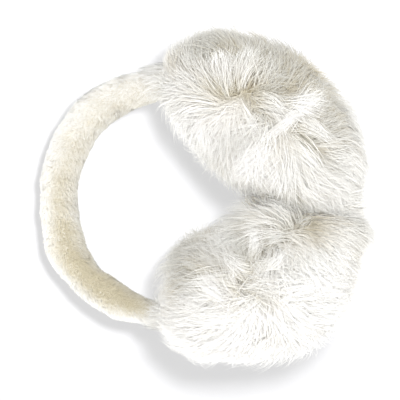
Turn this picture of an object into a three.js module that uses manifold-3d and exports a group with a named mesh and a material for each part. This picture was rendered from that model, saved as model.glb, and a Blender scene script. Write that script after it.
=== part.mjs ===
// Fur earmuffs lying on their side: a plush headband sleeve that ends inside two thick muffs of long white fur.
// Units are millimetres. +X runs from the crown of the headband to the muffs, +Y across from one muff to the other,
// and +Z up from the surface that the earmuffs lie on. The origin is under the middle of the whole thing.
import * as THREE from "three";
import { ConvexHull } from "three/addons/math/ConvexHull.js";
import { mergeVertices } from "three/addons/utils/BufferGeometryUtils.js";
import Module from "manifold-3d";

const wasm = await Module();
wasm.setup();

// Headband
const bandRadius = 72.7; // centreline of the headband's bow
const bandThickness = 23.4; // of the plush sleeve at the crown, across the bow
const bandDepth = 27; // of the same sleeve, from the front of the head to the back
const bandUpperEnd = 58; // degrees from +X to the end that sits in the upper muff
const bandLowerEnd = 292; // degrees from +X to the end that sits in the lower muff

// Muffs, as the outline of their fur
const muffLength = 146; // along the ear, top to bottom
const muffThickness = 94; // from the ear outwards
const muffDepth = 138; // from the front of the head to the back, before its own weight presses it flat
const fullness = 2.1; // 2 is an ellipsoid, more is a fuller cushion

// Locks of fur
const lockCount = 96; // on each muff
const lockStandout = 15; // from the pelt in the valleys between the locks out to their tips
const lockRagged = 2; // how far a lock's tip may fall short of the outline or pass it
const lockBulge = 0.62; // share of its standout that a lock has climbed halfway in from its edge
const combAngle = 11; // degrees that a lock's tip leans away from the muff's upper pole
const combSpread = 5; // degrees of stray lean from lock to lock

// How the pieces meet each other and the surface
const seatClearance = 0.35; // round the headband where it sits in a muff
const pressGap = 0.6; // between the two muffs where their fur presses together
const furPress = 22; // how far a muff's fur is pressed flat by its weight
const crownPress = 0.5; // how far the plush of the crown is pressed flat
const settleRounds = 12; // of working out the tilt at which it rests
const cutReach = 8 * bandRadius; // the side of a block that cuts right across the earmuffs

// The muffs. angle is where each sits on the bow, lean is the direction of its length, both in degrees from +X.
// reach, long and thick are shares of bandRadius, muffLength and muffThickness. outward is the sign of its outer side.
const muffs = [
  { name: "fur_muff_upper", angle: 36.5, reach: 0.97, lean: -42, long: 1.06, thick: 0.972, outward: 1, seed: 3 },
  { name: "fur_muff_lower", angle: -47.2, reach: 1.0, lean: 22, long: 0.945, thick: 1.028, outward: -1, seed: 11 },
];
const pressShare = 0.445; // where the muffs meet, from the middle of the lower one to that of the upper one

// Sections of the sleeve, at shares of the way from the upper end to the lower end.
// thick is a share of bandThickness and deep a share of bandDepth. shift moves the section outwards, as a share of
// bandThickness: the stuffed sleeve wanders a little to either side of the bow, and has a kink near the lower muff.
const sleeveSections = [
  { at: 0.0, thick: 0.7, deep: 0.7, shift: -0.08 },
  { at: 0.16, thick: 0.84, deep: 0.8, shift: -0.14 },
  { at: 0.21, thick: 0.89, deep: 0.86, shift: -0.14 },
  { at: 0.26, thick: 1.01, deep: 0.94, shift: -0.07 },
  { at: 0.32, thick: 1.05, deep: 1.0, shift: -0.02 },
  { at: 0.4, thick: 1.04, deep: 1.0, shift: -0.02 },
  { at: 0.5, thick: 0.99, deep: 1.0, shift: 0.0 },
  { at: 0.57, thick: 1.01, deep: 1.0, shift: 0.01 },
  { at: 0.63, thick: 1.07, deep: 1.0, shift: 0.12 },
  { at: 0.67, thick: 0.98, deep: 0.98, shift: 0.12 },
  { at: 0.7, thick: 0.91, deep: 0.96, shift: 0.13 },
  { at: 0.74, thick: 0.94, deep: 0.95, shift: 0.09 },
  { at: 0.79, thick: 0.86, deep: 0.9, shift: 0.07 },
  { at: 0.84, thick: 0.67, deep: 0.78, shift: 0.03 },
  { at: 1.0, thick: 0.6, deep: 0.66, shift: 0.02 },
];
const sleeveSteps = 36; // faceted lengths along the bow
const sleeveSides = 16; // round the sleeve

const plush = new THREE.MeshStandardMaterial({ color: 0xf1ead8, roughness: 0.95, metalness: 0 });
const fur = new THREE.MeshStandardMaterial({ color: 0xf4f2ee, roughness: 0.9, metalness: 0 });

const radians = THREE.MathUtils.degToRad;

// A repeatable number from -1 to 1 for each whole number and salt.
function chance(index, salt) {
  const wave = Math.sin(index * 127.1 + salt * 311.7) * 43758.5453;
  return 2 * (wave - Math.floor(wave)) - 1;
}

// How steeply a column of a table of sections climbs at a row.
function tableSlope(rows, column, row) {
  const before = rows[Math.max(0, row - 1)];
  const after = rows[Math.min(rows.length - 1, row + 1)];
  return (after[column] - before[column]) / (after.at - before.at);
}

// A column of a table of sections at a share of the way along it, on a smooth curve through the rows.
function tableValue(rows, column, at) {
  const next = rows.findIndex((row) => row.at >= at);
  const to = Math.max(1, next);
  const from = to - 1;
  const width = rows[to].at - rows[from].at;
  const share = (at - rows[from].at) / width;
  const [square, cube] = [share ** 2, share ** 3];
  return (
    rows[from][column] * (2 * cube - 3 * square + 1) +
    rows[to][column] * (3 * square - 2 * cube) +
    tableSlope(rows, column, from) * width * (cube - 2 * square + share) +
    tableSlope(rows, column, to) * width * (cube - square)
  );
}

// A closed surface through rings of points that all have the same number, with flat ends.
function loft(rings) {
  const sides = rings[0].length;
  const points = rings.flat();
  const faces = [];
  for (let ring = 0; ring + 1 < rings.length; ring++) {
    for (let side = 0; side < sides; side++) {
      const a = ring * sides + side;
      const b = ring * sides + ((side + 1) % sides);
      faces.push(a, b, b + sides, a, b + sides, a + sides);
    }
  }
  const last = (rings.length - 1) * sides;
  for (let side = 1; side + 1 < sides; side++) {
    faces.push(0, side + 1, side, last, last + side, last + side + 1);
  }
  return new THREE.BufferGeometry().setFromPoints(points).setIndex(faces);
}

// Between three.js geometry and solids that can be joined and cut.
function toSolid(geometry) {
  const bare = new THREE.BufferGeometry();
  bare.setAttribute("position", geometry.getAttribute("position"));
  bare.setIndex(geometry.index);
  const merged = mergeVertices(bare, 1e-4);
  return new wasm.Manifold(
    new wasm.Mesh({
      numProp: 3,
      vertProperties: merged.attributes.position.array,
      triVerts: new Uint32Array(merged.index.array),
    }),
  );
}

function toGeometry(solid) {
  const mesh = solid.getMesh();
  const geometry = new THREE.BufferGeometry();
  geometry.setAttribute("position", new THREE.BufferAttribute(mesh.vertProperties, 3));
  geometry.setIndex(new THREE.BufferAttribute(mesh.triVerts, 1));
  geometry.computeVertexNormals();
  return geometry;
}

// The largest piece of a solid, without crumbs cut loose from it or hollows sealed inside it.
function mainPiece(solid) {
  const pieces = solid.decompose();
  pieces.sort((a, b) => b.volume() - a.volume());
  return pieces[0];
}

// Headband sleeve, in the bow's own frame: the bow lies in the XY plane and its centre is the origin.
// spare makes it larger all over, for the seats that it is cut with.
function sleeveGeometry(spare) {
  const start = radians(bandUpperEnd);
  const sweep = radians(bandLowerEnd - bandUpperEnd);
  const rings = [];
  for (let step = 0; step <= sleeveSteps; step++) {
    const at = step / sleeveSteps;
    const along = step === 0 ? -spare : step === sleeveSteps ? spare : 0;
    const angle = start + sweep * at + along / bandRadius;
    const halfThick = (bandThickness * tableValue(sleeveSections, "thick", at)) / 2 + spare;
    const halfDeep = (bandDepth * tableValue(sleeveSections, "deep", at)) / 2 + spare;
    const middle = bandRadius + bandThickness * tableValue(sleeveSections, "shift", at);
    const ring = [];
    for (let side = 0; side < sleeveSides; side++) {
      const turn = (2 * Math.PI * side) / sleeveSides;
      const radius = middle - halfThick * Math.cos(turn);
      ring.push(new THREE.Vector3(radius * Math.cos(angle), radius * Math.sin(angle), halfDeep * Math.sin(turn)));
    }
    rings.push(ring);
  }
  return loft(rings);
}

// Where a muff's middle is in the bow's plane.
function muffCentre(muff) {
  const distance = bandRadius * muff.reach;
  const angle = radians(muff.angle);
  return new THREE.Vector3(distance * Math.cos(angle), distance * Math.sin(angle), 0);
}

// The tilt at which the crown of the sleeve and both muffs touch the surface at once, in radians.
function restingTilt() {
  const muffsAhead = (muffCentre(muffs[0]).x + muffCentre(muffs[1]).x) / 2;
  const restHeight = muffDepth / 2 - furPress;
  let tilt = 0;
  for (let round = 0; round < settleRounds; round++) {
    tilt = Math.asin((restHeight - crownDrop(tilt)) / (bandRadius + muffsAhead));
  }
  return tilt;
}

// How far the crown's lowest point lies below its centreline once the bow is tilted, with the plush pressed.
function crownDrop(tilt) {
  return Math.hypot((bandThickness / 2) * Math.sin(tilt), (bandDepth / 2) * Math.cos(tilt)) - crownPress;
}

// A block that fills the space below the surface, in the bow's frame.
function belowSurface(tilt) {
  const drop = bandRadius * Math.sin(tilt) + crownDrop(tilt);
  const block = new THREE.BoxGeometry(cutReach, cutReach, cutReach);
  block.translate(0, 0, -cutReach / 2 - drop);
  return block.applyMatrix4(new THREE.Matrix4().makeRotationY(tilt));
}

// A block on the far side of the plane where the two muffs press together, for one of them, in the bow's frame.
function beyondPress(muff) {
  const meeting = muffCentre(muffs[1]).lerp(muffCentre(muffs[0]), pressShare);
  const block = new THREE.BoxGeometry(cutReach, cutReach, cutReach);
  block.translate(0, -muff.outward * (cutReach / 2 - pressGap / 2), 0);
  block.rotateZ(radians((muffs[0].lean + muffs[1].lean) / 2));
  return block.translate(meeting.x, meeting.y, 0);
}

// A point in a direction from a muff's middle, on its outline of fur drawn in by an inset.
function muffPoint(muff, direction, inset) {
  const powers = [direction.x, direction.y, direction.z].map((part) => Math.abs(part) ** fullness);
  const swell = (powers[0] + powers[1] + powers[2]) ** (-1 / fullness);
  return new THREE.Vector3(
    direction.x * swell * ((muffLength * muff.long) / 2 - inset),
    direction.y * swell * ((muffThickness * muff.thick) / 2 - inset),
    direction.z * swell * (muffDepth / 2 - inset),
  );
}

// Where each lock is rooted, as directions from a muff's middle, spread evenly and then a little astray.
function lockRoots(muff) {
  const roots = [];
  for (let index = 0; index < lockCount; index++) {
    const height = 1 - (2 * (index + 0.5)) / lockCount;
    const across = Math.sqrt(1 - height * height);
    const turn = index * Math.PI * (3 - Math.sqrt(5)) + muff.seed;
    const astray = radians(combSpread);
    const root = new THREE.Vector3(across * Math.cos(turn), across * Math.sin(turn), height);
    root.x += astray * chance(index, muff.seed);
    root.y += astray * chance(index, muff.seed + 1);
    root.z += astray * chance(index, muff.seed + 2);
    roots.push(root.normalize());
  }
  return roots;
}

// The direction of a lock's tip, combed away from the upper pole.
function combed(root, index, muff) {
  const pole = new THREE.Vector3(0, 0, 1);
  const hinge = new THREE.Vector3().crossVectors(pole, root);
  const lean = combAngle * hinge.length() + combSpread * chance(index, muff.seed + 3);
  return root.clone().applyAxisAngle(hinge.normalize(), radians(lean));
}

// A muff's pelt and the locks on it as one closed skin. Each lock rises from the ring of valleys round it, over a
// bulge, to a pointed tip. Three locks share a valley: a triangle of the hull round their roots.
function furGeometry(muff) {
  const roots = lockRoots(muff);
  const points = [];
  const tips = roots.map((root, index) => combed(root, index, muff));
  tips.forEach((tip, index) => points.push(muffPoint(muff, tip, lockRagged * chance(index, muff.seed + 4))));
  const valleys = new Map();
  const hull = new ConvexHull().setFromPoints(roots);
  for (const face of hull.faces) {
    const direction = face.midpoint.clone().normalize();
    valleys.set(face, { direction, spot: points.length });
    points.push(muffPoint(muff, direction, lockStandout));
  }
  const bulges = new Map();
  function bulge(lock, face) {
    const key = `${lock} ${valleys.get(face).spot}`;
    if (!bulges.has(key)) {
      const direction = valleys.get(face).direction.clone().add(tips[lock]).normalize();
      bulges.set(key, points.length);
      points.push(muffPoint(muff, direction, lockStandout * (1 - lockBulge)));
    }
    return bulges.get(key);
  }
  const faces = [];
  for (const face of hull.faces) {
    for (const edge of [face.getEdge(0), face.getEdge(1), face.getEdge(2)]) {
      const lock = roots.indexOf(edge.tail().point);
      const [here, next] = [edge.twin.face, face];
      const [low, lowNext] = [valleys.get(here).spot, valleys.get(next).spot];
      const [mid, midNext] = [bulge(lock, here), bulge(lock, next)];
      faces.push(lock, mid, midNext, mid, low, lowNext, mid, lowNext, midNext);
    }
  }
  return new THREE.BufferGeometry().setFromPoints(points).setIndex(faces);
}

// Fur muff: the pelt with its locks, pressed flat by the surface and by its neighbour, with a seat for the sleeve.
function muffMesh(muff, tilt) {
  const centre = muffCentre(muff);
  const place = new THREE.Matrix4().makeRotationZ(radians(muff.lean)).setPosition(centre);
  const fromBow = place.clone().invert();
  let solid = toSolid(furGeometry(muff));
  for (const cutter of [belowSurface(tilt), beyondPress(muff), sleeveGeometry(seatClearance)]) {
    solid = solid.subtract(toSolid(cutter.applyMatrix4(fromBow)));
  }
  const mesh = new THREE.Mesh(toGeometry(mainPiece(solid)), fur);
  mesh.name = muff.name;
  mesh.position.copy(centre);
  mesh.rotation.z = radians(muff.lean);
  return mesh;
}

// Headband: the whole sleeve, its crown pressed flat where it touches the surface.
function headbandMesh(tilt) {
  const solid = toSolid(sleeveGeometry(0)).subtract(toSolid(belowSurface(tilt)));
  const mesh = new THREE.Mesh(toGeometry(solid), plush);
  mesh.name = "headband";
  return mesh;
}

const tilt = restingTilt();
const lying = new THREE.Group();
lying.rotation.y = -tilt;
lying.add(headbandMesh(tilt));
for (const muff of muffs) {
  lying.add(muffMesh(muff, tilt));
}

const earmuffs = new THREE.Group();
earmuffs.add(lying);
earmuffs.updateMatrixWorld(true);
const box = new THREE.Box3().setFromObject(earmuffs, true);
const middle = box.getCenter(new THREE.Vector3());
lying.position.set(-middle.x, -middle.y, -box.min.z);

export default earmuffs;
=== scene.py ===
# %% [markdown]
# Fur earmuffs in Blender. A plush headband bends round to two thick muffs of long white fur, and the whole
# thing lies on its side. Three jobs make the picture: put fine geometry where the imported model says, comb
# the fur, and light it softly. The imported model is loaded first, and nothing here changes its sizes.

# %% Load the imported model
import math
import bpy
import numpy as np
from mathutils import Matrix, Vector
from mathutils.kdtree import KDTree


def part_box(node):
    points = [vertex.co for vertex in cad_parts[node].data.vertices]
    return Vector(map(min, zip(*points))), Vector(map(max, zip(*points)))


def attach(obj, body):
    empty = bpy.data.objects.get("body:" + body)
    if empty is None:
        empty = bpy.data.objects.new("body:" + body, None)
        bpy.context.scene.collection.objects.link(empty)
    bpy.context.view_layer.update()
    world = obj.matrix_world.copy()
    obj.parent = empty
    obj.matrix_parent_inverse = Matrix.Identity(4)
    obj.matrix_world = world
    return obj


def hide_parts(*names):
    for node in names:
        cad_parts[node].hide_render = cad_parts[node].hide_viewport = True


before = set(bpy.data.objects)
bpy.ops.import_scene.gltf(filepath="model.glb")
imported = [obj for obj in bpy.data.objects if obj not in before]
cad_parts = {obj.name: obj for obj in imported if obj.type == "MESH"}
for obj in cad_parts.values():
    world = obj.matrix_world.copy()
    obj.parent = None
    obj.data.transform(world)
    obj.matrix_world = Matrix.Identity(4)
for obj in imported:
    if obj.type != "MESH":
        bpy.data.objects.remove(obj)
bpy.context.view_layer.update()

# %% [markdown]
# The sizes repeat the part's own, in millimetres. Everything below is worked out in the bow's frame: the
# bow lies in the XY plane with its centre at the origin, X runs to the right of the photo, Y up it and Z
# towards the camera. Only the last step of each piece turns millimetres in that frame into metres on the
# floor.

# %% Sizes of the headband and the muffs
BAND_RADIUS = 72.7
BAND_THICKNESS = 23.4
BAND_DEPTH = 27
BAND_UPPER_END = 58
BAND_LOWER_END = 292
MUFF_LENGTH = 146
MUFF_THICKNESS = 94
MUFF_DEPTH = 138
FULLNESS = 2.1
FUR_PRESS = 22
CROWN_PRESS = 0.5
SETTLE_ROUNDS = 12
PRESS_SHARE = 0.445
MM = 0.001

# Sections of the sleeve: share of the way along, then thickness, depth and shift outwards as shares.
SLEEVE = np.array([
    (0.00, 0.70, 0.70, -0.08), (0.16, 0.84, 0.80, -0.14), (0.21, 0.89, 0.86, -0.14),
    (0.26, 1.01, 0.94, -0.07), (0.32, 1.05, 1.00, -0.02), (0.40, 1.04, 1.00, -0.02),
    (0.50, 0.99, 1.00, 0.00), (0.57, 1.01, 1.00, 0.01), (0.63, 1.07, 1.00, 0.12), (0.67, 0.98, 0.98, 0.12),
    (0.70, 0.91, 0.96, 0.13), (0.74, 0.94, 0.95, 0.09), (0.79, 0.86, 0.90, 0.07), (0.84, 0.67, 0.78, 0.03),
    (1.00, 0.60, 0.66, 0.02),
])
AT, THICK, DEEP, SHIFT = range(4)

MUFFS = {
    "upper": {"angle": 36.5, "reach": 0.97, "lean": -42, "long": 1.06, "thick": 0.972, "outward": 1,
              "tone": 0.0, "seed": 100},
    "lower": {"angle": -47.2, "reach": 1.0, "lean": 22, "long": 0.945, "thick": 1.028, "outward": -1,
              "tone": 0.08, "seed": 200},
}
for muff in MUFFS.values():
    turn = math.radians(muff["angle"])
    lean = math.radians(muff["lean"])
    muff["centre"] = BAND_RADIUS * muff["reach"] * np.array([math.cos(turn), math.sin(turn), 0])
    muff["halves"] = np.array([MUFF_LENGTH * muff["long"], MUFF_THICKNESS * muff["thick"], MUFF_DEPTH]) / 2
    muff["axes"] = np.array([
        [math.cos(lean), math.sin(lean), 0],
        [-math.sin(lean), math.cos(lean), 0],
        [0, 0, 1],
    ])
    print("muff centre", muff["centre"].round(1), "half sizes", muff["halves"].round(1))

# %% [markdown]
# A surface is easiest to cover with hair when it is a function: give it two numbers and it gives a point.
# The sleeve takes a share of the way along and an angle round it. Its sections are joined by a smooth cubic
# curve.

# %% The sleeve as a function


def table_value(column, at):
    """A column of the sleeve's table at shares of the way along it."""
    count = len(SLEEVE)
    before = np.maximum(np.arange(count) - 1, 0)
    after = np.minimum(np.arange(count) + 1, count - 1)
    slopes = (SLEEVE[after, column] - SLEEVE[before, column]) / (SLEEVE[after, AT] - SLEEVE[before, AT])
    to = np.clip(np.searchsorted(SLEEVE[:, AT], at), 1, count - 1)
    start = to - 1
    width = SLEEVE[to, AT] - SLEEVE[start, AT]
    share = (at - SLEEVE[start, AT]) / width
    square, cube = share**2, share**3
    return (
        SLEEVE[start, column] * (2 * cube - 3 * square + 1)
        + SLEEVE[to, column] * (3 * square - 2 * cube)
        + slopes[start] * width * (cube - 2 * square + share)
        + slopes[to] * width * (cube - square)
    )


def sleeve_section(at):
    """Half thickness, half depth and distance of the middle from the bow's centre."""
    return (
        BAND_THICKNESS * table_value(THICK, at) / 2,
        BAND_DEPTH * table_value(DEEP, at) / 2,
        BAND_RADIUS + BAND_THICKNESS * table_value(SHIFT, at),
    )


def band_angle(at):
    """The angle round the bow's centre, in radians, at shares of the way along the headband."""
    return np.radians(BAND_UPPER_END + (BAND_LOWER_END - BAND_UPPER_END) * at)


def band_share(degrees):
    """The share of the way along the headband at angles round the bow's centre, in degrees."""
    return (degrees - BAND_UPPER_END) / (BAND_LOWER_END - BAND_UPPER_END)


def sleeve_surface(at, turn, spare=0.0):
    """Points of the sleeve. A turn of 0 is its inner side, a quarter faces +Z, half a turn is its outside."""
    half_thick, half_deep, middle = sleeve_section(at)
    angle = band_angle(at)
    radius = middle - (half_thick + spare) * np.cos(turn)
    height = (half_deep + spare) * np.sin(turn)
    return np.stack([radius * np.cos(angle), radius * np.sin(angle), height + 0 * angle], -1)


# %% [markdown]
# The bow tilts until its crown and both muffs touch the floor. The tilt follows from the sizes, and the
# place of the bow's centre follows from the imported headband's box, so the hair grows exactly where the
# solids are.

# %% Place on the floor
# How many places along the sleeve and round it are measured to find its box.
MEASURE_STEPS = 37
MEASURE_SIDES = 17


def crown_drop(tilt):
    """How far the crown's lowest point lies below its middle."""
    return math.hypot(BAND_THICKNESS / 2 * math.sin(tilt), BAND_DEPTH / 2 * math.cos(tilt)) - CROWN_PRESS


muffs_ahead = sum(muff["centre"][0] for muff in MUFFS.values()) / 2
TILT = 0.0
for _ in range(SETTLE_ROUNDS):
    TILT = math.asin((MUFF_DEPTH / 2 - FUR_PRESS - crown_drop(TILT)) / (BAND_RADIUS + muffs_ahead))
BOW_AXES = np.array([
    [math.cos(TILT), 0, math.sin(TILT)],
    [0, 1, 0],
    [-math.sin(TILT), 0, math.cos(TILT)],
])
band_low = np.array(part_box("headband")[0]) / MM
steps, sides = np.meshgrid(
    np.linspace(0, 1, MEASURE_STEPS), np.linspace(0, 2 * math.pi, MEASURE_SIDES))
reached = (sleeve_surface(steps.ravel(), sides.ravel()) @ BOW_AXES).min(0)
BOW_CENTRE = np.array([
    band_low[0] - reached[0],
    band_low[1] - reached[1],
    BAND_RADIUS * math.sin(TILT) + crown_drop(TILT),
])
print("tilt", round(math.degrees(TILT), 2), "degrees, bow centre", BOW_CENTRE.round(2))


def to_floor(points):
    """From the bow's frame to the floor's, both in millimetres."""
    return points @ BOW_AXES + BOW_CENTRE


def from_floor(points):
    """From the floor's frame back to the bow's."""
    return (points - BOW_CENTRE) @ BOW_AXES.T


# %% [markdown]
# A muff is a swollen ellipsoid. A direction from its middle and a depth below the outline of its fur give a
# point, so a hair can be drawn as a path that turns from one direction to another while it climbs from skin
# to outline.

# %% A muff as a function
TINY = 1e-9
# A wandering value is a sum of waves: how many, how steep they are for lumps of 1 mm, and about how large the
# sum gets.
WAVE_COUNT = 14
WAVE_PITCH = 2.2
WAVE_SUM = 5.3


def muff_point(muff, direction, inset):
    """Points in directions from a muff's middle, on its outline of fur drawn in by an inset."""
    swell = (np.abs(direction) ** FULLNESS).sum(-1, keepdims=True) ** (-1 / FULLNESS)
    return direction * swell * (muff["halves"] - inset[..., None])


def muff_normal(muff, points):
    """The way out of a muff at points in its own frame."""
    share = points / muff["halves"]
    return unit(np.sign(share) * np.abs(share) ** (FULLNESS - 1) / muff["halves"])


def unit(vectors):
    """Vectors made one long."""
    return vectors / np.maximum(np.linalg.norm(vectors, axis=-1, keepdims=True), TINY)


def to_bow(muff, points):
    """From a muff's own frame to the bow's."""
    return points @ muff["axes"] + muff["centre"]


def from_bow(muff, points):
    """From the bow's frame to a muff's own."""
    return (points - muff["centre"]) @ muff["axes"].T


def smooth_step(low, high, value):
    """0 below low, 1 above high, and an S between."""
    share = np.clip((value - low) / (high - low), 0, 1)
    return share * share * (3 - 2 * share)


def wander(points, size, seed):
    """A smooth random value from about -1 to 1 at each point, whose lumps are about size across."""
    rng = np.random.default_rng(seed)
    waves = rng.normal(0, 1, (WAVE_COUNT, points.shape[-1])) * (WAVE_PITCH / size)
    return np.sin(points @ waves.T + rng.uniform(0, 2 * math.pi, WAVE_COUNT)).sum(-1) / WAVE_SUM


def wanders(points, lumps):
    """Wandering values added up, from rows of lump size in mm, share and seed."""
    return sum(share * wander(points, size, seed) for size, share, seed in lumps)


# %% [markdown]
# One helper makes every mesh from arrays, because a hundred thousand hairs are far too many to make one at
# a time. Each hair is a narrow ribbon that tapers to a point. Its normals are a blend of the ribbon's own
# and the way out of the muff, since a bundle of round hairs is lit as a soft surface and not as a heap of
# flat strips.

# %% Meshes and ribbons
OBJECT = bpy.data.collections.new("earmuffs")
STAGE = bpy.data.collections.new("stage")
# A ribbon loses this share of its width on the way to its tip, and more slowly at first for a higher curve.
TAPER = 0.85
TAPER_CURVE = 1.3
# Normals that point up by less than the first number stay, and those above the second are bent in full.
BEND_FROM = -0.5
BEND_FULL = 0.1
UV_MARGIN = 0.01
for collection in (OBJECT, STAGE):
    bpy.context.scene.collection.children.link(collection)


def make_mesh(name, points, faces, uvs, material, normals=None):
    """An object from points in the bow's frame, faces of one kind, and a uv for each point."""
    mesh = bpy.data.meshes.new(name)
    corners = faces.shape[1]
    mesh.vertices.add(len(points))
    mesh.vertices.foreach_set("co", (to_floor(points) * MM).astype(np.float32).ravel())
    mesh.loops.add(faces.size)
    mesh.loops.foreach_set("vertex_index", faces.astype(np.int32).ravel())
    mesh.polygons.add(len(faces))
    mesh.polygons.foreach_set("loop_start", np.arange(0, faces.size, corners, dtype=np.int32))
    mesh.update(calc_edges=True)
    mesh.polygons.foreach_set("use_smooth", np.ones(len(faces), bool))
    layer = mesh.uv_layers.new(name="OFBake")
    layer.data.foreach_set("uv", uvs[faces.ravel()].astype(np.float32).ravel())
    if normals is not None:
        mesh.normals_split_custom_set_from_vertices((normals @ BOW_AXES).tolist())
    mesh.materials.append(material)
    piece = bpy.data.objects.new(name, mesh)
    OBJECT.objects.link(piece)
    print(name, len(faces) * (corners - 2), "triangles")
    return piece


def ribbons(paths, outward, width, roll, softness):
    """Points, triangles and normals of tapering hairs that follow paths of (hair, step, xyz)."""
    count, steps, _ = paths.shape
    tangent = unit(np.gradient(paths, axis=1))
    across = unit(np.cross(tangent, outward))
    up = np.cross(across, tangent)
    angle = roll[:, None, None]
    side = np.cos(angle) * across + np.sin(angle) * up
    facing = np.cross(side, tangent)
    along = np.linspace(0, 1, steps)[None, :, None]
    spread = side * width[:, None, None] / 2 * (1 - TAPER * along**TAPER_CURVE)
    left = (paths - spread)[:, :-1]
    right = (paths + spread)[:, :-1]
    points = np.concatenate([np.stack([left, right], 2).reshape(count, -1, 3), paths[:, -1:]], 1)
    shade = unit(softness * outward + (1 - softness) * facing)
    normals = np.concatenate([np.repeat(shade[:, :-1], 2, 1), shade[:, -1:]], 1)
    corners = []
    for step in range(steps - 2):
        here = 2 * step
        corners += [(here, here + 1, here + 3), (here, here + 3, here + 2)]
    corners.append((2 * steps - 4, 2 * steps - 3, 2 * steps - 2))
    first = np.arange(count)[:, None, None] * (2 * steps - 1)
    faces = (first + np.array(corners)[None]).reshape(-1, 3)
    return points.reshape(-1, 3), faces, normals.reshape(-1, 3)


def even_out(out, share):
    """The way out, bent towards the bow's upper side, as light that hairs pass on evens out their shade."""
    bend = share * smooth_step(BEND_FROM, BEND_FULL, out[..., 2:])
    return unit(out + bend * np.array([0, 0, 1.0]))


def hair_uvs(tone, steps):
    """U is a hair's tone from dark to light, V runs from its root to its tip."""
    along = np.repeat(np.linspace(0, 1, steps), 2)[:-1]
    u = np.repeat(np.clip(tone, UV_MARGIN, 1 - UV_MARGIN)[:, None], len(along), 1)
    v = np.repeat(UV_MARGIN + (1 - 2 * UV_MARGIN) * along[None], len(tone), 0)
    return np.stack([u, v], -1).reshape(-1, 2)


# %% [markdown]
# Two small helpers serve every material. One turns an sRGB hex colour into the linear numbers that Blender
# mixes light with. The other adds a node with its settings and its links in one line.

# %% Helpers for materials


def linear(code):
    """An sRGB hex colour as linear RGBA."""
    parts = [int(code[place:place + 2], 16) / 255 for place in (1, 3, 5)]
    return (*(part / 12.92 if part <= 0.04045 else ((part + 0.055) / 1.055) ** 2.4 for part in parts), 1.0)


def add_node(tree, kind, settings=None, links=None):
    """A node with its settings, as attributes or socket values, and the links into its sockets."""
    node = tree.nodes.new(kind)
    for name, value in (settings or {}).items():
        if hasattr(node, name):
            setattr(node, name, value)
        else:
            node.inputs[name].default_value = value
    for name, source in (links or {}).items():
        tree.links.new(source, node.inputs[name])
    return node


def colour_ramp(tree, source, stops):
    """A ramp through (place, hex colour) stops."""
    ramp = add_node(tree, "ShaderNodeValToRGB", links={"Fac": source})
    elements = ramp.color_ramp.elements
    while len(elements) < len(stops):
        elements.new(0.5)
    for element, (place, code) in zip(elements, stops):
        element.position = place
        element.color = linear(code)
    return ramp.outputs["Color"]


def new_material(name, settings):
    """A material with one Principled shader."""
    material = bpy.data.materials.new(name)
    material.use_nodes = True
    shader = material.node_tree.nodes["Principled BSDF"]
    for socket, value in settings.items():
        shader.inputs[socket].default_value = value
    return material, material.node_tree, shader


# %% [markdown]
# White rabbit-like fur: each hair is a keratin tube with air in its core, which scatters light like snow,
# so the colour is almost white and matte, with a faint silky sheen. The roots keep a greyish gold, and that
# is what shows in every parting. The colour is a chart over the hair's own uv: along V from root to tip,
# along U from dark to light. A ribbon's back is turned round to the normal of its front, so both sides of
# it are lit like the soft coat they are in.

# %% Fur materials
# A Mix node has its sockets once for each type of data, under the same names, so those that mix colours are
# called by number.
MIX_SHARE, MIX_FIRST, MIX_SECOND, MIX_RESULT = 0, 6, 7, 2


def hair_material(name, dark, light, settings):
    """Hair whose colour runs from root to tip, between a dark and a light chart."""
    material, tree, shader = new_material(name, settings)
    chart = add_node(tree, "ShaderNodeUVMap", {"uv_map": "OFBake"})
    parts = add_node(tree, "ShaderNodeSeparateXYZ", links={"Vector": chart.outputs["UV"]})
    darker = colour_ramp(tree, parts.outputs["Y"], dark)
    lighter = colour_ramp(tree, parts.outputs["Y"], light)
    mixed = add_node(tree, "ShaderNodeMix", {"data_type": "RGBA"})
    tree.links.new(parts.outputs["X"], mixed.inputs[MIX_SHARE])
    tree.links.new(darker, mixed.inputs[MIX_FIRST])
    tree.links.new(lighter, mixed.inputs[MIX_SECOND])
    tree.links.new(mixed.outputs[MIX_RESULT], shader.inputs["Base Color"])
    shape = add_node(tree, "ShaderNodeNewGeometry")
    side = add_node(tree, "ShaderNodeMapRange", {"To Min": 1.0, "To Max": -1.0},
                    {"Value": shape.outputs["Backfacing"]})
    outward = add_node(tree, "ShaderNodeVectorMath", {"operation": "SCALE"},
                       {"Vector": shape.outputs["Normal"], "Scale": side.outputs["Result"]})
    tree.links.new(outward.outputs["Vector"], shader.inputs["Normal"])
    return material


KERATIN = {"Roughness": 0.62, "IOR": 1.55, "Specular IOR Level": 0.25, "Sheen Weight": 0.25,
           "Sheen Roughness": 0.4}
GUARD_HAIR = hair_material(
    "keratin_guard_hair",
    [(0.0, "#a09274"), (0.3, "#bfb7a1"), (0.65, "#cac7bc"), (1.0, "#cfcfcb")],
    [(0.0, "#e6dfcd"), (0.3, "#f8f6ef"), (0.65, "#fefdf9"), (1.0, "#fffefa")],
    KERATIN,
)
UNDERFUR = hair_material(
    "keratin_underfur",
    [(0.0, "#9c8e70"), (0.4, "#bab097"), (1.0, "#cbc4b2")],
    [(0.0, "#ddd4bf"), (0.4, "#f2eee5"), (1.0, "#fbfaf7")],
    {**KERATIN, "Roughness": 0.8, "Sheen Weight": 0.1},
)

# %% [markdown]
# Sheared plush: the headband is a tube of knitted polyester whose short pile was brushed up and cropped. It
# is cream, fully matte, and its edges look paler than its middle because the eye meets the pile side on
# there.

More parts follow.
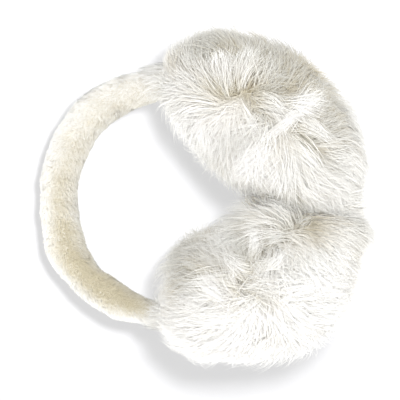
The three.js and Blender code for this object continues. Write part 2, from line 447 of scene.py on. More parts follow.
# %% Plush pile material
PLUSH_PILE = hair_material(
    "sheared_polyester_pile",
    [(0.0, "#bfb392"), (0.5, "#cdc3a6"), (1.0, "#d8cfb6")],
    [(0.0, "#f8f4e9"), (0.5, "#fdfbf5"), (1.0, "#fffffc")],
    {"Roughness": 0.85, "IOR": 1.5, "Specular IOR Level": 0.2, "Sheen Weight": 0.7, "Sheen Roughness": 0.4},
)

# %% [markdown]
# Two grounds lie under the hair and show only as a hint: the knitted polyester that carries the pile, and the
# tanned leather of the pelt, whose colour is uneven because it soaks up the tan unevenly. A stitch or a pore
# is finer than a pixel of the photo, so one noise for each draws only the larger patches.

# %% Ground materials
# Widths in mm of the lighter and darker patches.
KNIT_PATCHES = 9
TAN_PATCHES = 4


def patchy_material(name, size, detail, stops, settings):
    """A matt ground whose colour wanders between two shades, in patches of a size in mm."""
    material, tree, shader = new_material(name, settings)
    place = add_node(tree, "ShaderNodeTexCoord")
    patches = add_node(tree, "ShaderNodeTexNoise", {"Scale": 1 / (size * MM), "Detail": detail},
                       {"Vector": place.outputs["Object"]})
    tree.links.new(colour_ramp(tree, patches.outputs["Fac"], stops), shader.inputs["Base Color"])
    return material


PLUSH_GROUND = patchy_material(
    "knitted_polyester_ground", KNIT_PATCHES, 3.0, [(0.3, "#f2ebd9"), (0.7, "#f9f4e8")],
    {"Roughness": 0.95, "IOR": 1.5, "Specular IOR Level": 0.1})
PELT_LEATHER = patchy_material(
    "tanned_pelt_leather", TAN_PATCHES, 4.0, [(0.3, "#b0a48e"), (0.7, "#c8bda8")],
    {"Roughness": 0.8, "IOR": 1.5, "Specular IOR Level": 0.2})

# %% [markdown]
# The floor presses what lies on it. Instead of cutting hair off there, heights near the floor are squeezed:
# far up nothing changes, and what would go below ends in a thin layer on it. The same squeeze works where
# the two muffs press against each other.

# %% Squeezing against the floor and the other muff
# Hair in the very middle of the sleeve is taken to be at least this share of the way to its surface.
SLEEVE_CORE = 0.05


def squeeze(distance, soft):
    """Distances from a plane that stay positive, changed only when they are less than soft."""
    return np.where(distance > soft, distance, soft * np.exp((np.minimum(distance, soft) - soft) / soft))


def press_on_floor(points, soft):
    """Points in the bow's frame, kept above the floor."""
    floor = to_floor(points)
    floor[..., 2] = squeeze(floor[..., 2], soft)
    return from_floor(floor)


press_lean = math.radians(sum(muff["lean"] for muff in MUFFS.values()) / 2)
PRESS_NORMAL = np.array([-math.sin(press_lean), math.cos(press_lean), 0])
PRESS_MIDDLE = (1 - PRESS_SHARE) * MUFFS["lower"]["centre"] + PRESS_SHARE * MUFFS["upper"]["centre"]


def beyond_press(muff, points):
    """Distances from the plane between the muffs, positive on the muff's own side."""
    return (points - PRESS_MIDDLE) @ PRESS_NORMAL * muff["outward"]


def press_on_neighbour(muff, points, soft, cross):
    """Points kept on the muff's own side, apart from the cross that stray hair may reach over."""
    distance = beyond_press(muff, points) + cross
    return points + ((squeeze(distance, soft) - distance) * muff["outward"])[..., None] * PRESS_NORMAL


def push_off_sleeve(points, spare):
    """Points in the bow's frame, moved out of the sleeve with some to spare."""
    angle = np.degrees(np.arctan2(points[..., 1], points[..., 0])) % 360
    at = band_share(angle)
    beside = (at > 0) & (at < 1)
    half_thick, half_deep, middle = sleeve_section(np.clip(at, 0, 1))
    out = np.hypot(points[..., 0], points[..., 1])
    aside = (out - middle) / (half_thick + spare)
    above = points[..., 2] / (half_deep + spare)
    inside = beside & (np.hypot(aside, above) < 1)
    grow = np.where(inside, 1 / np.maximum(np.hypot(aside, above), SLEEVE_CORE), 1.0)
    radius = middle + aside * grow * (half_thick + spare)
    height = above * grow * (half_deep + spare)
    moved = points * np.where(inside, radius / np.maximum(out, TINY), 1.0)[..., None]
    moved[..., 2] = np.where(inside, height, points[..., 2])
    return moved


# %% [markdown]
# The headband's sleeve is a stuffed tube. A fine grid over its function gives it the true outline, and low
# lumps that are a few millimetres wide make it look stuffed by hand. It is drawn in a little, because the
# pile fills the rest.

# %% Headband sleeve
PILE_LENGTH = 4.2
PILE_STANDS = 2.3
SLEEVE_ROWS = 260
SLEEVE_COLUMNS = 48
# Height of the sleeve's lumps in mm, then rows of their size in mm, share and seed.
LUMP_HEIGHT = 0.45
LUMPS = [(9, 1.0, 5), (4, 0.6, 6)]
CROWN_SOFT = 1.2


def grid(first, last, rows, columns):
    """Rows from first to last, each with columns all round a turn, as two flat lists."""
    row, turn = np.meshgrid(
        np.linspace(first, last, rows), np.arange(columns) * 2 * math.pi / columns, indexing="ij")
    return row.ravel(), turn.ravel()


def grid_faces(rows, columns):
    """Quads over a grid whose columns close on themselves."""
    row, column = np.meshgrid(np.arange(rows - 1), np.arange(columns), indexing="ij")
    here = (row * columns + column).ravel()
    beside = (row * columns + (column + 1) % columns).ravel()
    return np.stack([here, beside, beside + columns, here + columns], -1)


def sleeve_skin(at, turn, spare):
    """The stuffed sleeve with its lumps, pressed on the floor."""
    bare = sleeve_surface(at, turn, spare)
    return press_on_floor(sleeve_surface(at, turn, spare + LUMP_HEIGHT * wanders(bare, LUMPS)), CROWN_SOFT)


at, turn = grid(0, 1, SLEEVE_ROWS, SLEEVE_COLUMNS)
sleeve = make_mesh(
    "headband_sleeve", sleeve_skin(at, turn, -PILE_STANDS), grid_faces(SLEEVE_ROWS, SLEEVE_COLUMNS),
    np.stack([at, turn / (2 * math.pi)], -1), PLUSH_GROUND)

# %% [markdown]
# The pile is real geometry too: short ribbons that lean along the band, brushed this way and that in
# patches. The brushing is what mottles real plush. Part of its light and shade is painted into its tone:
# white on the rims, painted on the outer one as painted light, a peach painted shade at the top inside, and
# a brownish painted shade in the hollow at the lower left inside.

# %% Sizes and habits of the pile
PILE_COUNT = 62000
PILE_STEPS = 3
PILE_SEED = 21
# Where the pile grows, as shares of the way along, and how deep its roots sit in mm.
PILE_BETWEEN = (0.1, 0.9)
PILE_ROOT = 0.3
# How far up and how far along a hair is at each of its steps, as shares of the whole.
PILE_CURVE = ((0, 0), (0.65, 0.4), (1.0, 1.0))
# The least share of its reach that a hair has, the range of its width in mm, how far its ribbon rolls in
# radians, how soft its normals are and how far they are bent to the bow's upper side.
PILE_SHORTEST = 0.6
PILE_WIDTHS = (0.4, 0.6)
PILE_ROLL = 0.8
PILE_SOFTNESS = 0.85
PILE_EVENNESS = 0.5
# Rows of patch size in mm, share and seed: which way the pile is brushed, how high it stands and its tone.
PILE_BRUSHED = [(20, 0.5, 7), (5, 0.5, 8)]
PILE_STANDING = [(4, 0.35, 9)]
PILE_TONES = [(4, 0.09, 10), (14, 0.05, 12)]
# The same three from hair to hair: in radians, in mm and in tone.
STRAY_TURN = 0.7
STRAY_HEIGHT = 0.3
STRAY_TONE = 0.11
# The pile's middle tone, how much paler its outer rim is painted, as painted light, and where on the way
# outwards that sets in.
PILE_TONE = 0.73
RIM_PAINTED_LIGHT = 0.2
RIM_BETWEEN = (0.1, 0.9)
# Patches of painted shade: share along, side from -1 inner to 1 outer, spread along, spread across, change of
# tone.
PILE_PAINTED_SHADE = [
    (0.30, -0.7, 0.12, 0.5, -0.12), (0.42, -0.4, 0.08, 0.5, -0.20), (0.52, -0.2, 0.07, 0.5, -0.34),
    (0.62, -0.2, 0.07, 0.7, -0.56), (0.71, -0.3, 0.07, 0.7, -0.78), (0.80, -0.4, 0.06, 0.8, -0.62),
]


def tube_normals(at, turn):
    """The way out of the sleeve."""
    angle = band_angle(at)
    outer = -np.cos(turn)
    return np.stack([outer * np.cos(angle), outer * np.sin(angle), np.sin(turn)], -1)


# %% Headband pile
rng = np.random.default_rng(PILE_SEED)
at = rng.uniform(*PILE_BETWEEN, PILE_COUNT)
turn = rng.uniform(0, 2 * math.pi, PILE_COUNT)
outer = -np.cos(turn)
roots = sleeve_skin(at, turn, -PILE_STANDS - PILE_ROOT)
out = tube_normals(at, turn)
angle = band_angle(at)
ahead = np.stack([-np.sin(angle), np.cos(angle), 0 * angle], -1)
brushed = wanders(roots, PILE_BRUSHED) + rng.normal(0, STRAY_TURN, PILE_COUNT)
lay = unit(np.cos(brushed)[:, None] * ahead + np.sin(brushed)[:, None] * np.cross(out, ahead))
stand = PILE_STANDS + PILE_ROOT + wanders(roots, PILE_STANDING) + rng.normal(0, STRAY_HEIGHT, PILE_COUNT)
reach = np.sqrt(np.maximum(PILE_LENGTH**2 - stand**2, 1)) * rng.uniform(PILE_SHORTEST, 1.0, PILE_COUNT)
path = [roots + out * (stand * up)[:, None] + lay * (reach * along)[:, None] for up, along in PILE_CURVE]
path = press_on_floor(np.stack(path, 1), CROWN_SOFT)
shade = np.repeat(even_out(out, PILE_EVENNESS)[:, None], PILE_STEPS, 1)
width = rng.uniform(*PILE_WIDTHS, PILE_COUNT)
roll = rng.uniform(-PILE_ROLL, PILE_ROLL, PILE_COUNT)
points, faces, normals = ribbons(path, shade, width, roll, PILE_SOFTNESS)

# %% Shades of the pile
tone = PILE_TONE + wanders(roots, PILE_TONES) + rng.normal(0, STRAY_TONE, PILE_COUNT)
# The outer rim is painted paler, as painted light, and the patches below paint shade on the inner side.
tone += RIM_PAINTED_LIGHT * smooth_step(*RIM_BETWEEN, outer)
for middle, side, long, wide, change in PILE_PAINTED_SHADE:
    tone += change * np.exp(-((at - middle) / long) ** 2 - ((outer - side) / wide) ** 2)
pile = make_mesh("headband_pile", points, faces, hair_uvs(tone, PILE_STEPS), PLUSH_PILE, normals)

# %% [markdown]
# Under the fur lies the pelt: tanned skin sewn round stuffing. It only shows as a dark hint in the deepest
# partings, so a smooth closed form does, sunk well below the outline and flattened where the muff lies and
# presses.

# %% Pelts
PELT_INSET = 16.5
PELT_SOFT = 3.0
PELT_ROWS = 40
PELT_COLUMNS = 64
# The grid's first and last rows keep this far from the poles, in radians.
POLE_GAP = 0.02


def make_pelt(name, muff):
    """A muff's stuffed pelt, over directions in rows from pole to pole."""
    slope, turn = grid(POLE_GAP, math.pi - POLE_GAP, PELT_ROWS, PELT_COLUMNS)
    directions = np.stack([np.sin(slope) * np.cos(turn), np.sin(slope) * np.sin(turn), np.cos(slope)], -1)
    uvs = np.stack([turn / (2 * math.pi), 1 - slope / math.pi], -1)
    points = to_bow(muff, muff_point(muff, directions, np.full(len(directions), PELT_INSET)))
    points = press_on_neighbour(muff, press_on_floor(points, PELT_SOFT), PELT_SOFT, 0.0)
    quads = grid_faces(PELT_ROWS, PELT_COLUMNS)[:, ::-1]
    return make_mesh(f"{name}_muff_pelt", points, quads, uvs, PELT_LEATHER)


for name, muff in MUFFS.items():
    muff["pelt"] = make_pelt(name, muff)

# %% [markdown]
# Fur is combed with a table of strokes, as a groomer would: a place on the muff as the camera sees it, the
# direction the comb goes and how far its effect reaches. Between strokes the directions blend. Where they
# pull apart, as at a crown or a parting, the blend is weak and the hair stands up, which shows the darker
# roots as on the real thing.

# %% The comb
# Far from every stroke hair still follows the nearest ones, with this much pull, which fades over so many
# millimetres.
FAR_PULL = 1e-4
FAR_REACH = 10
# Each stroke: x and y in the bow's plane in mm, direction in degrees, reach in mm.
MUFFS["upper"]["comb"] = np.array([
    (17, 77, 128, 9), (29, 86, 100, 9), (43, 89, 85, 9), (60, 86, 68, 9), (74, 77, 52, 9), (86, 63, 35, 9),
    (97, 46, 8, 9), (103, 26, -12, 9), (101, 9, -30, 9), (6, 63, 158, 9), (2, 52, -170, 9),
    (6, 38, -148, 9), (17, 43, -148, 8), (14, 23, -132, 9), (29, 38, -128, 8), (37, 43, -110, 7),
    (31, 18, -128, 9), (43, 18, -98, 8), (46, 40, -85, 6), (54, 49, -60, 6), (40, 3, -112, 8),
    (53, 6, -92, 8), (66, -5, -78, 8), (66, 9, -70, 7), (74, 26, -45, 6), (83, 18, -38, 7),
    (89, 29, -22, 8), (86, 3, -35, 8), (100, -5, -65, 9), (57, 58, -20, 5), (66, 66, 60, 7),
    (43, 72, 92, 7), (29, 71, 115, 7), (77, 46, 20, 6), (62, 41, 40, 4), (71, 49, 42, 4), (52, 30, -130, 5),
    (42, 19, -132, 6),
])
MUFFS["lower"]["comb"] = np.array([
    (-6, -34, 150, 9), (3, -23, 132, 9), (17, -17, 118, 8), (31, -13, 105, 7), (23, -28, 140, 8),
    (34, -28, 150, 7), (-9, -51, 168, 9), (8, -51, 165, 8), (23, -51, 150, 7), (-6, -66, -170, 9),
    (8, -66, -165, 8), (23, -66, -155, 8), (0, -82, -145, 9), (17, -86, -122, 9), (34, -80, -115, 9),
    (43, -71, -120, 7), (51, -88, -92, 9), (66, -80, -70, 9), (83, -71, -42, 9), (97, -54, -25, 9),
    (72, -60, -40, 8), (60, -45, -10, 7), (77, -40, 2, 8), (97, -34, 12, 9), (100, -20, 55, 9),
    (86, -17, -10, 7), (63, -23, -135, 6), (50, -25, -110, 5), (66, -11, 120, 6), (77, -25, -30, 5),
    (34, -45, 120, 5), (29, -60, -160, 6),
])


# How far the outline of the fur stands out or in, in mm, by direction in degrees round each muff's middle.
MUFFS["upper"]["outline"] = [
    (-64, 1.0), (-54, 3.0), (-47, 2.0), (-38, -3.0), (-30, -8.0), (-15, -8.5), (-5, -6.0), (20, -0.5),
    (40, 3.5), (60, 6.5), (75, 3.5), (90, 0.5), (115, -1.0), (136, -3.5), (145, -1.5), (153, 4.5),
    (162, 6.0), (171, 2.5), (182, 0.0), (230, 0.0),
]
MUFFS["lower"]["outline"] = [
    (-150, -2.0), (-120, -2.0), (-90, -3.0), (-65, 2.5), (-43, 7.0), (-20, 3.0), (0, -1.0), (12, -3.0),
    (27, -1.0), (36, 3.0), (52, 2.0), (75, 0.0), (95, -4.0), (118, -4.0), (137, 1.0), (152, 1.5),
    (170, -3.5), (190, -4.5),
]


def outline_change(muff, spots):
    """How far out the fur's outline moves at spots in the bow's frame."""
    angles, changes = np.array(muff["outline"]).T
    aside = spots[:, :2] - muff["centre"][:2]
    angle = np.degrees(np.arctan2(aside[:, 1], aside[:, 0]))
    reach = np.linalg.norm(spots - muff["centre"], axis=1)
    level = np.hypot(aside[:, 0], aside[:, 1]) / np.maximum(reach, TINY)
    return np.interp(angle, angles, changes, period=360) * level**2


def combed(muff, spots):
    """Which way hair leans at spots in the bow's frame, as vectors up to one long."""
    strokes = muff["comb"]
    gap = ((spots[:, None, :2] - strokes[None, :, :2]) ** 2).sum(-1)
    pull = np.exp(-gap / (2 * strokes[:, 3] ** 2)) + FAR_PULL / (1 + gap / FAR_REACH**2)
    ways = np.radians(strokes[:, 2])
    total = pull.sum(1)
    flow = np.stack([pull @ np.cos(ways), pull @ np.sin(ways), 0 * total], -1)
    return flow / total[:, None]


# %% [markdown]
# Tufts finish the groom. Each is a stretched spot with a place, a direction, a change of tone and a lift,
# so hair gathers into a crest or sinks into a furrow. The change of tone is painted light and shade:
# painted highlight on crests and on the sides of the muffs that face the light, and painted shade in
# furrows, along the seam and along the upper muff's top rim. Positive lift raises tips above the outline.

# %% Tufts and furrows
# How strongly the tufts paint light and shade into the hair's tone.
TUFT_LIGHT_AND_SHADE = 1.5
# Tufts set in between these heights above the bow's plane, in mm.
TUFTS_BETWEEN = (-10, 15)
# Each: x and y in mm, half length and half width in mm, direction in degrees, change of tone as painted light
# and shade, lift in mm.
MUFFS["upper"]["tufts"] = [
    (67, 45, 11, 2.6, 39, 0.38, 4.0), (73, 53, 5, 3.0, 60, 0.40, 3.0), (43, 20, 14, 4.0, 48, 0.24, 1.5),
    (75, 36, 10, 4.5, -8, -0.44, -3.0), (81, 24, 12, 3.2, -42, -0.38, -2.0),
    (90, 40, 14, 7.0, -60, -0.18, 0.0), (23, 62, 8, 4.0, 10, -0.34, -1.0),
    (89, 60, 17, 6.5, -54, -0.44, 0.0), (36, 89, 24, 6.5, -6, -0.56, 0.0),
    (14, 84, 13, 6.0, 30, -0.30, 0.0), (67, 78, 12, 6.5, -35, -0.50, 0.0), (0, 75, 10, 6.0, 50, 0.06, 0.0),
    (25, 78, 5, 3.5, 70, 0.36, 1.5), (42, 78, 5, 3.5, 100, 0.22, 1.5), (29, 64, 9, 4.5, -10, -0.50, -2.5),
    (48, 62, 12, 5.0, -5, -0.50, -3.0), (62, 62, 8, 5.0, -70, -0.42, -2.5),
    (25, 56, 8, 2.6, 40, -0.24, -1.5), (48, 47, 12, 3.0, -56, -0.42, -3.0),
    (40, 31, 9, 3.5, 10, -0.20, -1.5), (9, 36, 22, 10.0, 52, 0.20, 0.0), (56, 12, 12, 8.0, -75, 0.14, 0.0),
    (46, -6, 7, 4.0, -20, -0.16, 0.0), (60, -5, 8, 3.5, -60, -0.26, -1.0),
    (74, -7, 9, 3.5, -20, -0.28, -1.0), (97, 45, 12, 5.0, -60, -0.08, 0.0),
]
MUFFS["lower"]["tufts"] = [
    (4, -25, 17, 4.5, 38, -0.42, 0.0), (12, -33, 14, 6.0, 38, -0.16, 0.0),
    (38, -22, 11, 5.0, 85, -0.28, -1.5), (49, -33, 9, 4.5, -5, -0.50, -3.0),
    (76, -18, 8, 3.8, -75, -0.50, -3.5), (60, -19, 16, 7.0, 0, -0.18, 0.0),
    (45, -25, 6, 2.2, -85, 0.50, 3.0), (56, -36, 6, 2.2, 35, 0.40, 3.0), (54, -25, 4, 2.5, 0, 0.26, 2.0),
    (20, -42, 9, 5.0, 40, -0.26, -2.0), (5, -40, 12, 10.0, 30, -0.26, 0.0),
    (23, -51, 9, 3.2, -50, 0.34, 3.0), (41, -48, 8, 3.0, -80, -0.28, -3.0),
    (50, -60, 6, 4.5, -30, -0.34, -2.5), (95, -15, 14, 5.0, -5, -0.28, 0.0),
    (104, -30, 12, 5.0, 85, -0.34, 0.0), (58, -43, 12, 4.0, 5, -0.16, -1.0),
    (80, -62, 24, 14.0, 35, 0.28, 0.0), (50, -86, 30, 11.0, 0, 0.28, 0.0),
    (-1, -55, 10, 7.0, 75, -0.26, 0.0),
]


def tufted(muff, spots):
    """Painted light and shade as a change of tone, and lift, at spots in the bow's frame, on the side facing
    the camera.
    """
    tone, lift = np.zeros(len(spots)), np.zeros(len(spots))
    facing = smooth_step(*TUFTS_BETWEEN, spots[:, 2])
    for x, y, long, wide, turn, change, rise in muff["tufts"]:
        way = np.array([math.cos(math.radians(turn)), math.sin(math.radians(turn))])
        aside = spots[:, :2] - (x, y)
        ahead = aside @ way
        across = aside @ (-way[1], way[0])
        near = np.exp(-((ahead / long) ** 2 + (across / wide) ** 2) / 2) * facing
        tone += TUFT_LIGHT_AND_SHADE * change * near
        lift += rise * near
    return tone, lift


# %% [markdown]
# Hair grows in clumps inside clumps: fine ones stick together by their tips, and those lie in larger locks.
# Every hair therefore leans partly its own way and partly the way of the clumps that its root is nearest
# to, and its tip is drawn towards the middle of each. Three sizes of clump make it look soft at any
# distance.

# %% Growing hair
CLUMPS = (
    {"count": 170, "stray": 5.0, "turn": 0.26, "lift": 1.2, "gather": 0.10, "tone": 0.03},
    {"count": 1000, "stray": 3.0, "turn": 0.18, "lift": 0.9, "gather": 0.16, "tone": 0.035},
    {"count": 5500, "stray": 1.5, "turn": 0.11, "lift": 0.4, "gather": 0.10, "tone": 0.02},
)
# Share of the hair that grows on the back, and the mm over which growth sets in: above the floor, on the
# muff's own side of the seam, and above the bow's plane.
BACK_SHARE = 0.35
FROM_FLOOR = (0, 22)
FROM_SEAM = (-3, 2)
FROM_BACK = (-30, 10)
# More directions are tried than hairs are wanted, and more are kept than an even share.
TRIES = 3
KEEP_MORE = 1.6


def scatter(muff, count, rng):
    """Directions from a muff's middle, spread evenly over the skin that carries hair."""
    directions = unit(rng.normal(0, 1, (count * TRIES, 3)))
    a, b, c = muff["halves"]
    area = np.linalg.norm(directions * np.array([b * c, a * c, a * b]), axis=1)
    skin = to_bow(muff, muff_point(muff, directions, np.full(len(directions), PELT_INSET)))
    keep = area / area.max() * smooth_step(*FROM_FLOOR, to_floor(skin)[:, 2])
    keep = keep * smooth_step(*FROM_SEAM, beyond_press(muff, skin))
    keep = keep * (BACK_SHARE + (1 - BACK_SHARE) * smooth_step(*FROM_BACK, skin[:, 2]))
    return directions[rng.uniform(0, 1, len(keep)) < keep * KEEP_MORE]


def plant(muff, count, rng):
    """As many directions from a muff's middle as a coat has hairs."""
    found = []
    while sum(len(part) for part in found) < count:
        found.append(scatter(muff, count, rng))
    return np.concatenate(found)[:count]


def find_clumps(root, stray, rng):
    """Each size of clump, its middles and each hair's own clump. How its comb strays is added to stray."""
    clumps = []
    for size in CLUMPS:
        middles = root[rng.choice(len(root), size["count"], replace=False)]
        tree = KDTree(len(middles))
        for index, middle in enumerate(middles):
            tree.insert(middle, index)
        tree.balance()
        nearest = np.array([tree.find(spot)[1] for spot in root])
        stray += rng.normal(0, size["stray"], (len(middles), 2))[nearest]
        clumps.append((size, middles, nearest))
    return clumps


# %% [markdown]
# A hair's own path comes next. The comb's direction is laid flat on the skin, and where the skin turns away
# from the camera, hair is combed towards the back. It turns to where it leans while it climbs to the outline.

# %% The lie and the curve of a hair
# How strongly hair is combed to the back, and the slopes of the skin between which that fades, from -1 where
# it faces away from the camera to 1 where it faces it.
COMB_BACK = 1.5
BACK_BETWEEN = (-0.35, 0.25)
# How deep roots sit in the skin, in mm, and how late a hair turns along its length.
ROOT_DEPTH = 0.5
LATE_TURN = 1.35


def lie_of_hair(muff, root, places):
    """Which way hair leans over the skin, the way across that, and how firmly it is combed."""
    normal = muff_normal(muff, root)
    flow = combed(muff, places) @ muff["axes"].T
    strength = np.linalg.norm(flow, axis=1)
    backward = COMB_BACK * (1 - smooth_step(*BACK_BETWEEN, normal[:, 2]))
    flow = unit(flow) + np.array([0, 0, -1.0]) * backward[:, None]
    flow -= (flow * normal).sum(1, keepdims=True) * normal
    flow = unit(flow)
    return flow, np.cross(normal, flow), strength


def bend_hair(muff, start, end, spread, top, style, rng):
    """Points of crimped hairs that turn from start to end while they climb from the skin to an inset."""
    along = np.linspace(0, 1, style["steps"])
    turned = (along**LATE_TURN)[None, :, None]
    directions = unit(unit(start)[:, None] * (1 - turned) + end[:, None] * turned)
    climb = 1 - (1 - along) ** style["bend"]
    inset = PELT_INSET + ROOT_DEPTH + (top[:, None] - PELT_INSET - ROOT_DEPTH) * climb[None]
    phase = rng.uniform(0, 2 * math.pi, len(start))[:, None]
    wave = np.sin(along[None] * style["waves"] + phase) * along[None]
    return muff_point(muff, directions, inset) + spread[:, None] * (style["crimp"] * wave)[..., None]


# %% [markdown]
# Beside the seam, where the muffs press together, hair is squeezed up and some of it reaches across. There it
# is also lifted and evenly lit, so the seam reads as a soft valley instead of a dark slit.

# %% The seam and how hair varies
# The height in mm under which hair is pressed flat, and the inset in mm at which the comb is read.
HAIR_SOFT = 4.0
COMB_INSET = 6.0
# Tufts are read where a hair's outer part is seen: so much nearer to its end than to its root, at this inset.
SEEN_TURN = 1.6
SEEN_INSET = 3.0
# How far hair reaches across the seam in mm and how that share strays, how far it is lifted beside it, and
# where that sets in, in mm: from the seam, above the bow's plane and along the bow's X.
SEAM_CROSS = 7.0
SEAM_STRAY = 0.5
SEAM_LIFT = 9.0
BESIDE_SEAM = (-20, -3)
ABOVE_SEAM = (-20, 15)
ALONG_SEAM = (30, 62)
# Loosely combed hair slides over the skin by this share of its slide, firmly combed hair by all of it. What
# counts as loose and firm is next, and then the shares from hair to hair.
LEAST_SLIDE = 0.45
SLIDE_BETWEEN = (0.1, 0.7)
SLIDES = (0.75, 1.15)
# How far normals are bent to the bow's upper side, over the coat and on top of that at the seam.
EVENNESS = 0.6
SEAM_EVENNESS = 2.2
# How far in mm hair stays off the headband's sleeve.
SLEEVE_SPARE = 1.5
# Smooth drifts over a muff, as the size of their patches in mm and how far they go: the comb's place in mm,
# the lean in radians, the tone, and the share of the reach across the seam.
COMB_DRIFT = (20, 8)
TURN_DRIFT = (30, 0.12)
TONE_DRIFT = (24, 0.07)
CROSS_DRIFT = (9, 0.8)


def drift(points, patches, seed):
    """A smooth change over points, from the size of its patches and how far it goes."""
    size, reach = patches
    return reach * wander(points, size, seed)


# %% A coat of hair


def grow(muff, style, seed):
    """Paths of hairs in the bow's frame, the way out at each step, each hair's tone, and the generator."""
    rng = np.random.default_rng(seed)
    count = style["count"]
    start = plant(muff, count, rng)
    root = muff_point(muff, start, np.full(count, PELT_INSET + ROOT_DEPTH))
    spots = to_bow(muff, muff_point(muff, start, np.full(count, COMB_INSET)))
    stray = np.stack([drift(root, COMB_DRIFT, seed + 3), drift(root, COMB_DRIFT, seed + 4)], -1)
    clumps = find_clumps(root, stray, rng)
    flow, spread, strength = lie_of_hair(muff, root, spots[:, :2] + stray)
    turn = rng.normal(0, style["stray"], count) + drift(root, TURN_DRIFT, seed + 2)
    tone = style["tone"] + muff["tone"] + drift(root, TONE_DRIFT, seed + 1)
    lift = outline_change(muff, spots) + rng.normal(0, style["rise"], count)
    at_seam = smooth_step(*BESIDE_SEAM, -beyond_press(muff, spots)) * smooth_step(*ABOVE_SEAM, spots[:, 2])
    lift += SEAM_LIFT * at_seam * smooth_step(*ALONG_SEAM, spots[:, 0])
    pull = np.zeros((count, 3))
    for size, middles, near in clumps:
        turn += rng.normal(0, size["turn"], size["count"])[near]
        lift += rng.normal(0, size["lift"], size["count"])[near]
        tone += rng.normal(0, size["tone"], size["count"])[near]
        pull += size["gather"] * (middles[near] - root)
    lean = np.cos(turn)[:, None] * flow + np.sin(turn)[:, None] * spread
    slide = style["slide"] * (LEAST_SLIDE + (1 - LEAST_SLIDE) * smooth_step(*SLIDE_BETWEEN, strength))
    slide = slide * rng.uniform(*SLIDES, count)
    end = unit((root + lean * slide[:, None] + pull) / muff["halves"])
    seen = muff_point(muff, unit(unit(start) + SEEN_TURN * end), np.full(count, SEEN_INSET))
    # The tufts paint light and shade into the tone.
    tuft_light_and_shade, tuft_lift = tufted(muff, to_bow(muff, seen))
    tone += tuft_light_and_shade
    lift += tuft_lift
    local = bend_hair(muff, start, end, spread, style["tip"] - lift, style, rng)
    evenness = EVENNESS + SEAM_EVENNESS * at_seam[:, None, None]
    out = even_out(muff_normal(muff, local) @ muff["axes"], evenness)
    paths = push_off_sleeve(to_bow(muff, local), SLEEVE_SPARE)
    cross = 1 + drift(root, CROSS_DRIFT, seed + 5) + rng.normal(0, SEAM_STRAY, count)
    paths = press_on_neighbour(muff, paths, HAIR_SOFT, SEAM_CROSS * cross[:, None])
    tone += rng.normal(0, style["tones"], count)
    return press_on_floor(paths, HAIR_SOFT), out, tone, rng


# %% [markdown]
# Where the headband enters a muff, the muff's long hair drapes over the plush and hides the seam. Those
# hairs follow the sleeve's function instead of the muff's: they start inside the fur and run out along the
# band.

# %% Hair that drapes over the headband
# Where it starts and how far it runs along the bow, in degrees, then the middle and spread of its turn round
# the band, in radians.
DRAPES = {
    "upper": {"count": 1500, "start": (82, 98), "run": (4, 13), "turn": 2.6, "spread": 0.8, "tone": 0.80,
              "seed": 7},
    "lower": {"count": 900, "start": (262, 272), "run": (-10, -3), "turn": 1.9, "spread": 0.9,
              "tone": 0.72, "seed": 8},
}
# How far each hair strays in radians, rises in mm, how soon it rises, and how its tone varies.
DRAPE_STRAY = 0.25
DRAPE_RISES = (0.8, 4.0)
DRAPE_BEND = 1.6
DRAPE_TONES = 0.15


def drape(rows, steps):
    """Paths of hairs that lie along the band, the way out at each step, and their tones."""
    rng = np.random.default_rng(rows["seed"])
    count = rows["count"]
    along = np.linspace(0, 1, steps)[None]
    first = rng.uniform(*rows["start"], count)[:, None]
    run = rng.uniform(*rows["run"], count)[:, None]
    turn = rng.normal(rows["turn"], rows["spread"], count)[:, None]
    turn = turn + rng.normal(0, DRAPE_STRAY, count)[:, None] * along
    at = band_share(first + run * along)
    rise = rng.uniform(*DRAPE_RISES, count)[:, None] * (1 - (1 - along) ** DRAPE_BEND)
    paths = press_on_floor(sleeve_surface(at, turn, rise), CROWN_SOFT)
    return paths, tube_normals(at, turn), rows["tone"] + rng.normal(0, DRAPE_TONES, count)


# %% [markdown]
# A few locks lie loose on top of the coat: the bright crest of the upper muff, the curls beside the seam
# and the light streaks that fan out of the whorl. Each is drawn with its own row: where it starts and ends
# and how it bends.

# %% Loose locks
# Each: start x and y, end x and y, bend to the left, width, all in mm, then hairs, tone and rise in mm.
# The tone paints light and shade: higher on the crest and streaks as painted highlight, lower on the locks
# that cross the seam as painted shade.
MUFFS["upper"]["locks"] = [
    (50, 29, 65, 42, 1, 4, 80, 0.8, 1.0), (57, 36, 73, 49, 1, 4, 100, 0.85, 1.6),
    (63, 41, 77, 57, -1, 5, 80, 0.85, 1.6), (50, 28, 33, 9, 1, 8, 110, 0.78, 0.4),
    (26, 74, 24, 84, 1, 7, 50, 0.8, 0.4), (41, 75, 42, 86, 1, 8, 40, 0.72, 0.2),
    (48, 54, 62, 46, 2, 6, 40, 0.72, 0.4), (70, 42, 90, 30, 2, 6, 60, 0.78, 0.6),
    (62, 30, 84, 12, 3, 7, 60, 0.75, 0.2), (54, 22, 62, -2, 2, 10, 80, 0.8, 0.2),
    (60, 0, 64, -16, 1, 9, 90, 0.62, 0.5), (72, -2, 80, -16, 1, 9, 90, 0.62, 0.5),
    (84, 2, 98, -14, 2, 10, 90, 0.68, 0.4), (48, -2, 52, -14, 1, 8, 60, 0.6, 0.2),
]
